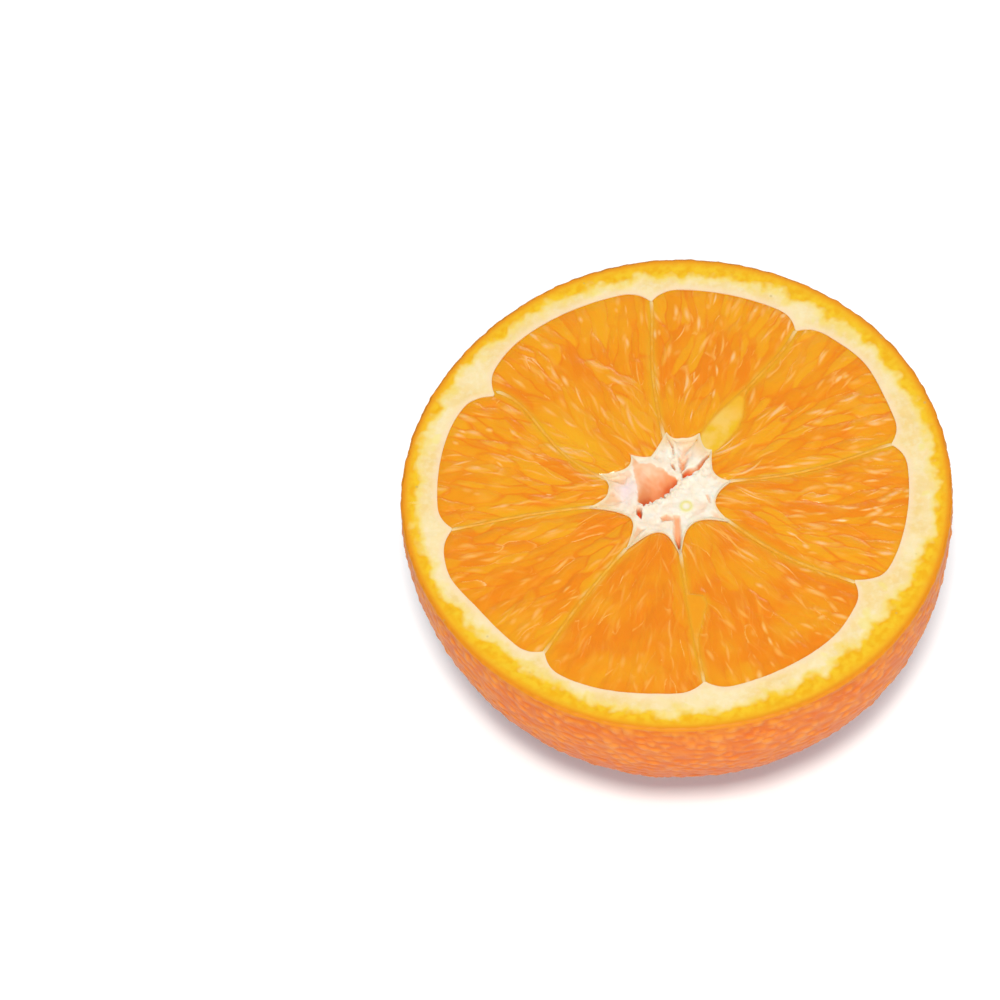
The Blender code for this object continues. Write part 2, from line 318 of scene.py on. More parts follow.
def add(tree, kind, sockets=None, **settings):
    """Adds a shader node, sets its options, and fills its sockets with values or links."""
    made = tree.nodes.new("ShaderNode" + kind)
    for name, value in settings.items():
        setattr(made, name, value)
    for name, value in (sockets or {}).items():
        if isinstance(value, bpy.types.NodeSocket):
            tree.links.new(value, made.inputs[name])
        else:
            made.inputs[name].default_value = value
    return made


def attribute(tree, name, output="Fac"):
    return add(tree, "Attribute", attribute_name=name).outputs[output]


def noise_of(tree, place, scale, detail=3.0):
    return add(tree, "TexNoise", {"Vector": place, "Scale": scale, "Detail": detail}).outputs[0]


def work_out(tree, operation, *values):
    return add(tree, "Math", dict(enumerate(values)), operation=operation).outputs[0]


def from_to(tree, value, low, high, start=0.0, end=1.0):
    """Maps a value's stretch from low to high, smoothly, to start and end."""
    sockets = {"Value": value, "From Min": low, "From Max": high, "To Min": start, "To Max": end}
    return add(tree, "MapRange", sockets, interpolation_type="SMOOTHSTEP").outputs[0]


def mix(tree, share, first, second):
    """Mixes two colours, each given as a link or a value."""
    return add(tree, "Mix", {0: share, 6: first, 7: second}, data_type="RGBA").outputs[2]


def new_material(name, **values):
    """A material whose shader has these plain values on its sockets."""
    material = bpy.data.materials.new(name)
    material.use_nodes = True
    shader = material.node_tree.nodes["Principled BSDF"]
    for key, value in values.items():
        shader.inputs[key.replace("_", " ")].default_value = value
    return material, material.node_tree, shader


def bumpy(tree, shader, height, distance, strength):
    """Gives the shader a fine relief, this high where the height goes from 0 to 1."""
    sockets = {"Height": height, "Distance": distance, "Strength": strength}
    tree.links.new(add(tree, "Bump", sockets).outputs[0], shader.inputs["Normal"])


def tissue_group():
    """The look that pith, septa and core share: soft clouds with finer pale fibres over them."""
    group = bpy.data.node_groups.new("pale_tissue", "ShaderNodeTree")
    colours, numbers = ("Base", "Cloud", "Fibre"), ("Cloud Scale", "Fibre Scale", "Fibre Share")
    for name in colours:
        group.interface.new_socket(name, in_out="INPUT", socket_type="NodeSocketColor")
    for name in numbers:
        group.interface.new_socket(name, in_out="INPUT", socket_type="NodeSocketFloat")
    group.interface.new_socket("Color", in_out="OUTPUT", socket_type="NodeSocketColor")
    group.interface.new_socket("Clouds", in_out="OUTPUT", socket_type="NodeSocketFloat")
    group.interface.new_socket("Fibres", in_out="OUTPUT", socket_type="NodeSocketFloat")
    given, result = group.nodes.new("NodeGroupInput"), group.nodes.new("NodeGroupOutput")
    place = add(group, "TexCoord").outputs["Object"]
    clouds = noise_of(group, place, given.outputs["Cloud Scale"])
    fibres = noise_of(group, place, given.outputs["Fibre Scale"])
    base, cloud, fibre = (given.outputs[name] for name in colours)
    colour = mix(group, from_to(group, clouds, 0.35, 0.65), base, cloud)
    share = work_out(group, "MULTIPLY", from_to(group, fibres, 0.4, 0.7), given.outputs["Fibre Share"])
    group.links.new(mix(group, share, colour, fibre), result.inputs["Color"])
    group.links.new(clouds, result.inputs["Clouds"])
    group.links.new(fibres, result.inputs["Fibres"])
    return group


def tissue(tree, base, cloud, fibre, cloud_scale, fibre_scale, fibre_share):
    """A copy of the shared tissue in this material: its outputs."""
    node = add(tree, "Group", node_tree=pale_tissue)
    values = (base, cloud, fibre, cloud_scale, fibre_scale, fibre_share)
    for socket, value in zip(node.inputs, values):
        socket.default_value = value
    return node.outputs


pale_tissue = tissue_group()
rind_material, tree, shader = new_material(
    "orange_rind", Roughness=0.45, Subsurface_Weight=0.15, Subsurface_Scale=0.8 * MM,
    Subsurface_Radius=(1.0, 0.5, 0.2), Specular_IOR_Level=0.16,
)
place = add(tree, "TexCoord").outputs["Object"]
walk = attribute(tree, "walk", "Vector")
depth = attribute(tree, "from_rim")
dome = attribute(tree, "dome")

# The skin is a mottled orange. Painted shade darkens it further down and in its creases, and painted
# highlights lighten its bumps. The foot has a small brown scar in its middle.
dull_skin, bright_skin = pigment(250, 132, 34), pigment(254, 150, 50)
painted_low_shade, rim_skin = pigment(228, 100, 16), pigment(240, 144, 20)
painted_crease_shade, painted_bump_highlight, scar_brown = pigment(224, 88, 14), pigment(255, 158, 76), pigment(176, 140, 84)
mottle = noise_of(tree, place, 220)
skin_colour = mix(tree, from_to(tree, mottle, 0.3, 0.7), dull_skin, bright_skin)
# painted shade: the skin gets darker further down, towards the foot
skin_colour = mix(tree, from_to(tree, depth, -8.0, -20.0, 0, 0.6), skin_colour, painted_low_shade)
skin_colour = mix(tree, from_to(tree, depth, -3.2, -0.2, 0, 0.7), skin_colour, rim_skin)
# painted shade in the creases between the glands, and painted highlights on the glands' bumps
skin_colour = mix(tree, from_to(tree, dome, 0.6, 0.1, 0, 0.55), skin_colour, painted_crease_shade)
skin_colour = mix(tree, from_to(tree, dome, 0.45, 0.9, 0, 0.4), skin_colour, painted_bump_highlight)
from_axis = add(tree, "VectorMath", {0: place}, operation="LENGTH").outputs["Value"]
scar = from_to(tree, from_axis, 1.7 * MM, 0.9 * MM, 0, 0.8)
skin_colour = mix(tree, scar, skin_colour, scar_brown)

# The cut goes from cream pith, through straw, to a gold layer with a ragged inner edge, and it ends
# in orange at the rim. The pith blushes beside the pulp and has a few yellow clouds and dark specks.
pith_shade, pith_cream, pith_fibre = pigment(248, 214, 142), pigment(252, 229, 176), pigment(255, 242, 208)
yellow_pith, blushed_pith = pigment(250, 232, 130), pigment(255, 224, 184)
straw_pith = pigment(250, 220, 112)
deep_gold, light_gold, outer_gold = pigment(245, 180, 14), pigment(249, 200, 38), pigment(246, 176, 30)
cut_rim, speck_brown = pigment(236, 142, 20), pigment(196, 170, 110)
lumps = noise_of(tree, walk, 0.30, 2)
ragged = noise_of(tree, walk, 0.8, 1.5)
edge = work_out(tree, "MULTIPLY_ADD", lumps, 5.0, attribute(tree, "gold"))
edge = work_out(tree, "MULTIPLY_ADD", ragged, 1.2, edge)
edge = work_out(tree, "SUBTRACT", edge, 3.1)
gold = from_to(tree, edge, -0.5, 0.6)
straw = from_to(tree, edge, -1.6, 0.1, 0, 0.85)
pith = tissue(tree, pith_shade, pith_cream, pith_fibre, 160, 1100, 0.3)
yolk = from_to(tree, noise_of(tree, place, 330, 2), 0.60, 0.72, 0, 0.5)
pith_colour = mix(tree, yolk, pith["Color"], yellow_pith)
blush = from_to(tree, attribute(tree, "from_pulp"), 1.3, 0.0, 0, 0.8)
pith_colour = mix(tree, blush, pith_colour, blushed_pith)
gold_colour = mix(tree, from_to(tree, ragged, 0.35, 0.65), deep_gold, light_gold)
gold_colour = mix(tree, from_to(tree, depth, 2.0, 0.3), gold_colour, outer_gold)
cut_colour = mix(tree, straw, pith_colour, straw_pith)
cut_colour = mix(tree, gold, cut_colour, gold_colour)
cut_colour = mix(tree, from_to(tree, depth, 1.1, 0.2, 0, 0.9), cut_colour, cut_rim)
dots = add(tree, "TexVoronoi", {"Vector": place, "Scale": 330.0})
dot_chance = add(tree, "SeparateColor", {0: dots.outputs["Color"]}).outputs[0]
chosen = work_out(tree, "GREATER_THAN", dot_chance, 0.72)
speck = work_out(tree, "MULTIPLY", from_to(tree, dots.outputs["Distance"], 0.10, 0.03, 0, 0.5), chosen)
cut_colour = mix(tree, speck, cut_colour, speck_brown)
colour = mix(tree, from_to(tree, depth, -0.3, 0.1), skin_colour, cut_colour)
tree.links.new(colour, shader.inputs["Base Color"])
grain = work_out(tree, "MULTIPLY_ADD", pith["Fibres"], 0.2, dome)
bumpy(tree, shader, grain, 0.30 * MM, 0.7)
finish_piece(
    "rind", rind_mesh, rind, rind_material,
    {
        "from_rim": from_rim,
        "from_pulp": np.where(on_skin, CUT_RADIUS, reach - inner) / MM,
        "gold": flavedo - from_rim,
        "dome": np.where(ring > FIRST_CUT_RING + CUT_RINGS, bump, FLAT_DOME),
        "walk": np.stack([around * CUT_RADIUS / MM, from_rim, 0 * around], axis=1),
    },
)

# The septa. Each is the thin double skin between two wedges of pulp, grown from a spur of pith at
# the rind to an arm of the core. Two of them lie over at the cut, so that a leaf of skin shows.
SEPTUM_DEPTH = 7.0 * MM
SEPTUM_HALF_WIDTH = 0.24 * MM
# (septum, side of it): distances from the core's centre in mm, and how wide the leaf is there.
LEAVES = {
    (2, -1): ((7.0, 8.0, 9.0, 10.3, 12.9, 14.7, 16.3, 18.2, 19.3, 20.4),
              (0.6, 1.3, 1.9, 2.4, 2.8, 2.7, 2.3, 1.1, 0.3, 0.0)),
    (2, 1): ((7.0, 8.0, 10.0, 12.2, 14.5, 17.2, 19.0, 20.5), (0.6, 0.8, 0.9, 0.9, 0.8, 0.4, 0.2, 0.0)),
    (7, 1): ((16.7, 17.3, 18.6, 20.4, 22.2, 23.8, 26.0), (0.0, 1.9, 2.4, 1.7, 0.9, 0.3, 0.0)),
}
LEAF_YELLOW = {2: 1.0, 7: 0.4}
SEPTUM_SUNK = 0.20 * MM
SEPTUM_CROWN = 0.06 * MM
OUTER_DIP = 0.10 * MM
INNER_DIVE = 0.35 * MM
LEAF_DIP = 0.04 * MM
LEAF_RIPPLE = 0.04 * MM
LEAF_RIPPLE_SIZE = 1.1 * MM
OVERLAP_AT_RIND = 0.8 * MM
OVERLAP_AT_CORE = 1.0 * MM
LEAF_START = 2.4 * SEPTUM_HALF_WIDTH
SEPTUM_COLUMNS, SEPTUM_ROWS = 10, 130
# Star-shaped outline of the core: bearings and reaches of its arms, and of the wedges between.
CORE_ARMS = ((10, 8.8), (48, 8.9), (65, 10.6), (91, 10.0), (129, 8.4), (160, 10.3), (189, 11.5),
             (234, 11.0), (276, 10.4), (328, 9.6))
CORE_BAYS = ((30, 6.7), (57, 8.0), (77, 8.7), (112, 6.2), (146, 7.0), (174, 8.0), (212, 6.4), (254, 6.0),
             (304, 5.6), (346, 6.1))
# In radians: how far to the side an arm falls to a third of its reach over the bays.
ARM_SPREAD = 0.11875


def core_reach(bearing):
    """Distance from the core's centre to its star-shaped outline."""
    degrees = np.degrees(bearing) % 360
    bays = np.array(CORE_BAYS).T
    bay = np.interp(degrees, bays[0], bays[1], period=360)
    reach = bay
    for arm_bearing, arm_reach in CORE_ARMS:
        turn = np.abs((degrees - arm_bearing + 180) % 360 - 180)
        reach = reach + (arm_reach - bay) * np.exp(-np.radians(turn) / ARM_SPREAD)
    return reach * MM


def septum_width(index, side, reach):
    """Half width of a septum on one side of its line."""
    width = SEPTUM_HALF_WIDTH + 0 * reach
    if (index % len(SEPTA), side) in LEAVES:
        reaches, widths = LEAVES[index % len(SEPTA), side]
        width = width + MM * np.interp(reach / MM, reaches, widths, left=widths[0], right=0)
    return width


def grid_body(name, columns, rows):
    """A closed slab with a fine top, and each vertex's place across, along and down it."""
    bm = bmesh.new()
    bmesh.ops.create_grid(bm, x_segments=columns, y_segments=rows, size=0.5)
    rim_edges = [edge for edge in bm.edges if edge.is_boundary]
    wall = bmesh.ops.extrude_edge_only(bm, edges=rim_edges)["geom"]
    bmesh.ops.translate(bm, verts=[g for g in wall if isinstance(g, bmesh.types.BMVert)], vec=(0, 0, -1))
    bmesh.ops.holes_fill(bm, edges=[edge for edge in bm.edges if edge.is_boundary])
    bmesh.ops.recalc_face_normals(bm, faces=bm.faces)
    mesh = bpy.data.meshes.new(name)
    bm.to_mesh(mesh)
    bm.free()
    place = points_of(mesh)
    return mesh, place[:, 0] + 0.5, place[:, 1] + 0.5, place[:, 2] < -0.5


septum_material, tree, shader = new_material(
    "septum_skin", Roughness=0.45, Subsurface_Weight=0.3, Subsurface_Scale=1.5 * MM,
    Subsurface_Radius=(1.0, 0.6, 0.25), Specular_IOR_Level=0.2,
)
skin_orange, skin_cloud, skin_fibre = pigment(250, 160, 26), pigment(252, 174, 46), pigment(255, 196, 100)
thin_edge, pith_end, core_end = pigment(249, 160, 28), pigment(255, 214, 146), pigment(255, 216, 158)
leaf_yellow, leaf_cream, leaf_outer = pigment(245, 190, 28), pigment(250, 202, 96), pigment(250, 184, 40)
leaf_orange, leaf_edge = pigment(247, 160, 20), pigment(249, 168, 34)
way_out = attribute(tree, "way_out")
skins = tissue(tree, skin_orange, skin_cloud, skin_fibre, 240, 800, 0.4)
edge_way = attribute(tree, "edge_way")
thin = mix(tree, from_to(tree, edge_way, 0.7, 0.0, 0, 0.8), skins["Color"], thin_edge)
colour = mix(tree, from_to(tree, way_out, 0.86, 1.0), thin, pith_end)
colour = mix(tree, from_to(tree, way_out, 0.16, 0.02), colour, core_end)
leaf = attribute(tree, "leaf")
yolk = mix(tree, from_to(tree, skins["Clouds"], 0.4, 0.6), leaf_yellow, leaf_cream)
yolk = mix(tree, from_to(tree, way_out, 0.22, 0.45), yolk, leaf_outer)
leaf_colour = mix(tree, from_to(tree, leaf, 0.45, 0.9), leaf_orange, yolk)
leaf_colour = mix(tree, from_to(tree, edge_way, 2.4, 0.0, 0, 0.9), leaf_colour, leaf_edge)
colour = mix(tree, from_to(tree, leaf, 0.0, 0.36), colour, leaf_colour)
tree.links.new(colour, shader.inputs["Base Color"])
bumpy(tree, shader, skins["Fibres"], 0.1 * MM, 0.4)

for index in range(len(SEPTA)):
    mesh, across, along, sunk = grid_body(f"septum_{index + 1}", SEPTUM_COLUMNS, SEPTUM_ROWS)
    outer = pulp_reach(septum_bearing(index, SEPTA_END)) + OVERLAP_AT_RIND
    inner = core_reach(septum_bearing(index, SEPTA_START)) - OVERLAP_AT_CORE
    # Columns run across the strip, from one side to the other, so its faces look up.
    reach = inner + (outer - inner) * (1 - along)
    bearing = septum_bearing(index, reach)
    left, right = septum_width(index, 1, reach), septum_width(index, -1, reach)
    arc = -right + (left + right) * across
    bearing = bearing + arc / reach
    points = face_place(reach, bearing, 0 * reach)
    way_out = (reach - inner) / (outer - inner)
    edge_way = np.minimum(across, 1 - across) * (left + right) / SEPTUM_HALF_WIDTH
    lies = SEPTUM_CROWN * smooth_step(0, 0.9, edge_way) - SEPTUM_SUNK
    lies -= OUTER_DIP * smooth_step(0.96, 0.99, way_out) + INNER_DIVE * smooth_step(0.045, 0, way_out)
    lies -= LEAF_DIP * smooth_step(0.3, 2.4, np.abs(arc) / MM)
    lies += LEAF_RIPPLE * rough(points, LEAF_RIPPLE_SIZE)
    leaf = np.clip((left + right - LEAF_START) / MM, 0, 1)
    points[:, 2] = CUT_HEIGHT + np.where(sunk, -SEPTUM_DEPTH, lies)
    finish_piece(
        mesh.name, mesh, points, septum_material,
        {"way_out": way_out, "leaf": leaf * LEAF_YELLOW.get(index, 0), "edge_way": edge_way},
    )

# The pulp. Eight wedges of juice sacs, each sac a spindle that points at the core, packed tight and
# opened by the knife. They are wet; the pale strokes are painted highlights where the sacs' own skins
# catch the light, some also pale dry sac skin.
PULP_DEPTH = 7.5 * MM
PULP_SUNK = 0.20 * MM
PULP_INTO_PITH = 0.15 * MM
PULP_INTO_CORE = 0.1 * MM
PULP_COLUMNS, PULP_ROWS = 190, 176
FIRST_GUESS = 20 * MM
EDGE_DIP = 0.05 * MM
CORE_DIP = 0.12 * MM
SWELL, SWELL_SIZE = 0.13 * MM, 4.5 * MM
SAC_DOME = 0.13 * MM
STROKE_RISE = 0.05 * MM
JUICE_GRAIN, JUICE_GRAIN_SIZE = 0.04 * MM, 1.2 * MM
EDGE_RELIEF = 0.25
# The sacs, in mm about the core's centre: each is put where it is furthest from the others, of so
# many tries, and its heading sways a little from the way to the core.
SACS_PER_WEDGE = 46
SAC_TRIES = 14
SAC_HALF_LENGTH = 4.2
SAC_HALF_WIDTH = 0.95
SAC_SIZES = (0.7, 1.5)
SACS_FROM, SACS_TO = 4.5, 33.5
SAC_SWAY, SAC_SWAY_SIZE = 0.5, 8
SAC_SHAKE = 0.12
SAC_WARP, SAC_WARP_SIZE = 0.45, 3 * MM
# Of the walls between sacs only those with a strength above 0 show.
WALL_STRENGTHS = (-1.4, 0.8)
WALL_WIDTHS = (0.12, 0.5)
WALL_GAP_SIZE = 2.5 * MM
# Half lengths and half widths of the painted highlight strokes in mm. From the first of these reaches
# to the second they get shorter and thicker.
STROKES_PER_WEDGE = 115
STROKE_LENGTHS, STROKE_WIDTHS = (0.7, 2.3), (0.14, 0.52)
STROKE_REACHES = (6, 28)
STROKE_STRETCHES, STROKE_SWELLS = (1.9, 0.9), (0.7, 1.1)
STROKE_SHIFT = 0.6
STROKE_SHAKE = 0.16
STROKE_BEND = 0.07
STROKE_STRENGTHS = (0.15, 1.0)
STROKE_FADE = 1.3
# The wedges below in the photo's view are a deeper orange.
WEDGE_TINTS = (-0.05, 0.1, 0.0, 0.1, 0.1, -0.05, -0.6, -0.45)
# How strong the painted highlight strokes are on each wedge.
WEDGE_STROKES = (1.0, 1.0, 1.0, 0.9, 0.9, 0.7, 0.5, 0.85)
# A yellow patch beside the most bent septum: its middle in mm, the ways along and across it, and
# its half length and half width.
PATCH_MIDDLE = np.array((-12.0, 9.0))
PATCH_ALONG, PATCH_ACROSS = np.array((-0.8, 0.6)), np.array((0.6, 0.8))
PATCH_LENGTH, PATCH_WIDTH = 6.0, 2.2
# Steps of the streaks' noise for a mm outwards, a radian round the core, and the next wedge.
STREAK_STEPS = (0.16, 20, 9)
STREAK_WAVE, STREAK_WAVE_SIZE = 1.6, 7 * MM


def turned_offsets(points, places, headings):
    """From each place to each point: how far along the place's own heading, and how far across."""
    apart = points[:, None, :] - places[None, :, :]
    cosine, sine = np.cos(headings), np.sin(headings)
    along = apart[:, :, 0] * cosine + apart[:, :, 1] * sine
    return along, apart[:, :, 1] * cosine - apart[:, :, 0] * sine


def scatter_sacs(chance, wedge):
    """Places and headings of a wedge's sacs, in mm about the core, each far from the others."""
    places, headings = np.empty((0, 2)), np.empty(0)
    while len(places) < SACS_PER_WEDGE:
        reach = np.sqrt(chance.uniform(SACS_FROM**2, SACS_TO**2, SAC_TRIES))
        first, last = (septum_bearing(wedge + side, reach * MM) for side in (0, 1))
        bearing = first + (last - first) * chance.uniform(0, 1, SAC_TRIES)
        tried = np.stack([reach * np.cos(bearing), reach * np.sin(bearing)], axis=1)
        pick = 0
        if len(places):
            along, across = turned_offsets(tried, places, headings)
            gap = np.hypot(along / SAC_HALF_LENGTH, across / SAC_HALF_WIDTH).min(axis=1)
            pick = int(gap.argmax())
        sway_place = Vector((*tried[pick] / SAC_SWAY_SIZE, wedge * 7.0))
        sway = SAC_SWAY * noise.noise(sway_place) + chance.normal(0, SAC_SHAKE)
        places = np.vstack([places, tried[pick]])
        headings = np.append(headings, bearing[pick] + sway)
    return places, headings


def sac_field(points, places, headings, sizes):
    """How near each point is to the middle of its sac, and to the next; and the two sacs."""
    along, across = turned_offsets(points, places, headings)
    apart = np.hypot(along / (SAC_HALF_LENGTH * sizes), across / (SAC_HALF_WIDTH * sizes))
    rows = np.arange(len(points))
    first = apart.argmin(axis=1)
    near = apart[rows, first]
    apart[rows, first] = np.inf
    second = apart.argmin(axis=1)
    return near, apart[rows, second], first, second


def stroke_field(points, chance, places, headings):
    """Strength of the painted highlight strokes at each point: thin bent spindles along the sacs' flanks.
    """
    pick = chance.choice(len(places), STROKES_PER_WEDGE)
    outwards = np.hypot(*places[pick].T)
    heading = headings[pick] + chance.normal(0, STROKE_SHAKE, STROKES_PER_WEDGE)
    ways = np.stack([np.cos(headings[pick]), np.sin(headings[pick])], axis=1)
    sides = np.stack([-ways[:, 1], ways[:, 0]], axis=1)
    shift = chance.uniform(-STROKE_SHIFT, STROKE_SHIFT, (STROKES_PER_WEDGE, 2))
    shift = shift * (SAC_HALF_LENGTH, SAC_HALF_WIDTH)
    middles = places[pick] + ways * shift[:, :1] + sides * shift[:, 1:]
    length = chance.uniform(*STROKE_LENGTHS, STROKES_PER_WEDGE)
    length = length * np.interp(outwards, STROKE_REACHES, STROKE_STRETCHES)
    width = chance.uniform(*STROKE_WIDTHS, STROKES_PER_WEDGE)
    width = width * np.interp(outwards, STROKE_REACHES, STROKE_SWELLS)
    bend = chance.normal(0, STROKE_BEND, STROKES_PER_WEDGE)
    strength = chance.uniform(*STROKE_STRENGTHS, STROKES_PER_WEDGE) ** STROKE_FADE
    along, across = turned_offsets(points, middles, heading)
    inside = 1 - (along / length) ** 2 - ((across + bend * along**2) / width) ** 2
    return (np.clip(inside, 0, 1) ** STROKE_FADE * strength).max(axis=1)


pulp_material, tree, shader = new_material(
    "juicy_pulp", Roughness=0.28, Subsurface_Weight=0.35, Subsurface_Scale=2.0 * MM,
    Subsurface_Radius=(1.0, 0.42, 0.08), Coat_Weight=0.18, Coat_Roughness=0.10,
    Specular_IOR_Level=0.22,
)
place = add(tree, "TexCoord").outputs["Object"]
grain_way = attribute(tree, "grain", "Vector")
tint = attribute(tree, "tint")
cloud = noise_of(tree, place, 120, 2)
streak = noise_of(tree, grain_way, 1.0, 3)
# Each sac has its own orange, with clouds and streaks over it, and it yellows beside the septa.
deep, usual, light = pigment(245, 138, 8), pigment(246, 154, 10), pigment(248, 168, 18)
cloud_gold, streak_gold, skin_gold = pigment(248, 170, 20), pigment(251, 170, 46), pigment(249, 182, 28)
colour = mix(tree, from_to(tree, tint, 0.0, 0.5), deep, usual)
colour = mix(tree, from_to(tree, tint, 0.5, 1.0), colour, light)
colour = mix(tree, from_to(tree, cloud, 0.42, 0.66, 0, 0.6), colour, cloud_gold)
colour = mix(tree, from_to(tree, streak, 0.52, 0.74, 0, 0.5), colour, streak_gold)
colour = mix(tree, from_to(tree, streak, 0.45, 0.28, 0, 0.5), colour, deep)
colour = mix(tree, attribute(tree, "yellow"), colour, skin_gold)
# Faint fibres and the sacs' walls are pale, and so are the strokes, which are painted highlights; all run
# from peach to pinkish white.
peach, pinkish_white = pigment(254, 180, 80), pigment(255, 202, 142)
fibre = work_out(tree, "ABSOLUTE", work_out(tree, "SUBTRACT", noise_of(tree, grain_way, 0.6, 1), 0.5))
fibre = from_to(tree, fibre, 0.035, 0.0)
gate = from_to(tree, noise_of(tree, place, 210, 1), 0.45, 0.62)
pale = work_out(tree, "MULTIPLY", work_out(tree, "MULTIPLY", fibre, gate), 0.18)
pale = work_out(tree, "MAXIMUM", pale, attribute(tree, "wall"))
# the strokes add painted highlights to the pale colour
pale = work_out(tree, "MAXIMUM", pale, attribute(tree, "highlight_stroke"))
pale_colour = mix(tree, from_to(tree, pale, 0.5, 1.0), peach, pinkish_white)
colour = mix(tree, from_to(tree, pale, 0.0, 0.7, 0, 0.9), colour, pale_colour)
tree.links.new(colour, shader.inputs["Base Color"])
raised = work_out(tree, "MULTIPLY_ADD", pale, 0.3, streak)
bumpy(tree, shader, raised, 0.2 * MM, 0.5)

chance = np.random.default_rng(5)
for wedge in range(len(SEPTA)):
    mesh, across, inwards, sunk = grid_body(f"pulp_{wedge + 1}", PULP_COLUMNS, PULP_ROWS)
    # The septa are bent, so each vertex's bearing and reach are found in turns.
    reach = np.full(len(across), FIRST_GUESS)
    for _ in range(8):
        first, last = septum_bearing(wedge, reach), septum_bearing(wedge + 1, reach)
        bearing = first + (last - first) * across
        outer, inner = pulp_reach(bearing) + PULP_INTO_PITH, core_reach(bearing) - PULP_INTO_CORE
        reach = outer + (inner - outer) * inwards
    points = face_place(reach, bearing, 0)
    from_first = arc_from_septum(wedge, bearing, reach) - septum_width(wedge, 1, reach)
    from_last = -arc_from_septum(wedge + 1, bearing, reach) - septum_width(wedge + 1, -1, reach)
    to_skin = np.minimum(from_first, from_last)
    flat = np.stack([reach * np.cos(bearing), reach * np.sin(bearing)], axis=1) / MM
    places, headings = scatter_sacs(chance, wedge)
    sizes = chance.uniform(*SAC_SIZES, len(places))
    warp = np.stack([rough(points, SAC_WARP_SIZE), rough(points + 1, SAC_WARP_SIZE)], axis=1)
    near, second, sac, next_sac = sac_field(flat + SAC_WARP * warp, places, headings, sizes)
    tints = chance.uniform(0.0, 1.0, len(places)) + WEDGE_TINTS[wedge]
    wall_strength = chance.uniform(*WALL_STRENGTHS, (len(places), len(places)))[sac, next_sac]
    wall_width = chance.uniform(*WALL_WIDTHS, (len(places), len(places)))[sac, next_sac]
    wall = np.clip(wall_strength, 0, 1) * smooth_step(wall_width, 0, second - near)
    wall *= smooth_step(-0.25, 0.3, rough(points, WALL_GAP_SIZE))
    # painted highlight strokes along the sacs' flanks
    highlight_stroke = WEDGE_STROKES[wedge] * stroke_field(flat, chance, places, headings)
    ends = np.minimum(np.minimum(to_skin, outer - reach), reach - inner)
    lies = -PULP_SUNK - EDGE_DIP * smooth_step(1.6 * MM, -0.2 * MM, ends)
    lies -= CORE_DIP * smooth_step(0.8 * MM, 0.1 * MM, reach - inner)
    lies += SWELL * rough(points, SWELL_SIZE) * smooth_step(0, 2.5 * MM, ends)
    dome = 1 - np.clip(near, 0, 1.3) ** 2
    relief = SAC_DOME * dome + STROKE_RISE * (highlight_stroke + wall)
    relief += JUICE_GRAIN * rough(points, JUICE_GRAIN_SIZE)
    relief *= EDGE_RELIEF + (1 - EDGE_RELIEF) * smooth_step(0, 1.5 * MM, ends)
    points[:, 2] += np.where(sunk, -PULP_DEPTH, lies + relief)
    gap = flat - PATCH_MIDDLE
    yellow = 0.8 * hump(gap @ PATCH_ALONG, PATCH_LENGTH) * hump(gap @ PATCH_ACROSS, PATCH_WIDTH)
    yellow += 0.5 * smooth_step(0.9 * MM, -0.2 * MM, to_skin)
    wave = STREAK_WAVE * rough(points, STREAK_WAVE_SIZE)
    streak_out, streak_round, streak_apart = STREAK_STEPS
    grain = [reach / MM * streak_out, bearing * streak_round + wave, 0 * reach + wedge * streak_apart]
    finish_piece(
        mesh.name, mesh, points, pulp_material,
        {
            "tint": tints[sac] * smooth_step(0, 0.35, second - near),
            "wall": wall,
            "highlight_stroke": highlight_stroke,
            "yellow": yellow,
            "grain": np.stack(grain, axis=1),
        },
    )

# The core. It is the white pith in the fruit's middle, whose arms run out to the septa. It tore
# open as the fruit ripened, which left a cleft with one ragged white side and one smooth pink one.
CORE_DEPTH = 8.5 * MM
CORE_COLUMNS, CORE_TOP_RINGS, CORE_SIDE_RINGS = 480, 96, 3
CORE_OVER_PULP = 0.12 * MM
TINY_TURN = 0.01
TORN_SIZE, FINE_SIZE, BILLOW_SIZE, JAG_SIZE = 1.2 * MM, 0.55 * MM, 2.0 * MM, 0.9 * MM
BLUSH_SIZE = 2.2 * MM
# From here on lengths are in mm, about the core's centre and down from the cut. A flush or blush is
# how far the colour is from white to red.
CORE_SUNK = 0.34
BILLOWS, TEARS, FINE_TEARS = 0.30, 0.17, 0.05
CORE_TOP = -0.12
LIP_DOWN, LIP_WIDTH = 0.06, 0.3
CREST_RISE, CREST_WIDTH = 0.35, 0.7
# The pink side of the cleft starts at this depth and falls by these towards the crest.
PINK_TOP, PINK_FALL, CLEFT_FALL = 0.3, 2.6, 1.4
PINK_SLOPE, PINK_REACH, CLEFT_WIDTH = 2.4, 6.5, 1.3
PINK_FLUSH, CLEFT_FLUSH, CLEFT_FLUSH_WIDTH = 0.49, 0.46, 2.3
SLIT_DEPTH, SLIT_TIP_FALL = 0.55, 0.85
SLIT_FLUSH, SLIT_TIP_FLUSH = 0.58, 0.38
ARM_BLUSH = 0.30
RIDGE_DOWN = 0.15
# The crest is the cleft's torn white side.
CREST = ((-4.0, -2.0), (-2.8, -1.7), (-1.6, -1.3), (-0.3, -0.4), (1.3, 1.1), (1.8, 1.9), (3.0, 2.4),
         (4.0, 3.2), (4.8, 3.7), (5.6, 4.7))
PINK_WALL = ((-5.3, 6.4), (-4.1, 5.4), (-2.5, 5.4), (-1.5, 4.7), (-0.3, 4.0), (0.3, 3.2), (1.5, 2.4),
             (1.0, 1.3), (-0.3, -0.2), (-1.6, -1.1), (-2.8, -1.5), (-4.0, -1.8), (-4.8, -1.1),
             (-4.9, 1.5), (-5.2, 3.7))
# Where the pink side starts to slope down.
PINK_EDGE = PINK_WALL[12:] + PINK_WALL[:7]
